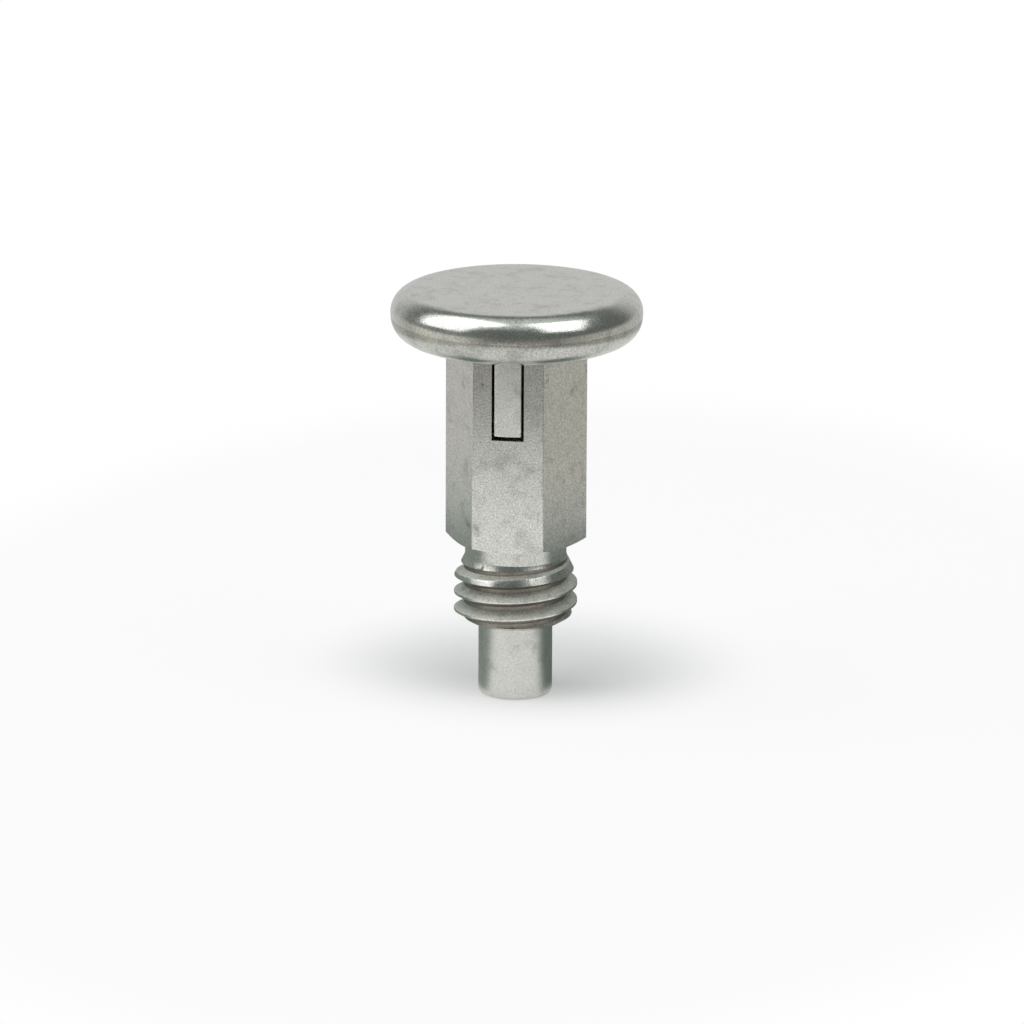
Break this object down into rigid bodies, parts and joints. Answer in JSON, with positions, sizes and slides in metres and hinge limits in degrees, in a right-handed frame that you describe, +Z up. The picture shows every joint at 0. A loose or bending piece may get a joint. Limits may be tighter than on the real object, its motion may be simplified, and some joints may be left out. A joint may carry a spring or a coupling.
{
  "type": "indexing plunger",
  "caption": "Spring-loaded indexing plunger: hexagonal slotted body with a coarse-threaded nose, a round pull knob with a cross key, and a cylindrical locking pin.",
  "frame": {"origin": "centre of the shoulder face of the hexagonal body, the face that seats on the plate the nose screws into", "axes": "+Z up the plunger's axis from the shoulder to the knob, so the thread and the pin point along -Z; Y is the direction of the cross slot and key, square to two flats"},
  "size_m": [0.0322, 0.0322, 0.0533],
  "materials": {
    "zinc_body": "zinc plated, satin",
    "bush_steel": "zinc plated, turned",
    "zinc_pin": "zinc plated, blue passivated",
    "spring_steel": "drawn wire",
    "zinc_knob": "zinc plated, satin"
  },
  "bodies": {
    "housing": {"hex_body": "zinc_body", "guide_bush": "bush_steel", "return_spring": "spring_steel"},
    "plunger": {"locking_pin": "zinc_pin", "knob": "zinc_knob"}
  },
  "joints": [
    {"name": "pin_pull", "type": "slide", "parent": "housing", "child": "plunger", "axis": [0, 0, 1], "range_m": [0, 0.011], "stiffness_N_per_m": 1800, "springref_m": -0.005, "deforming": ["return_spring"]}
  ]
}
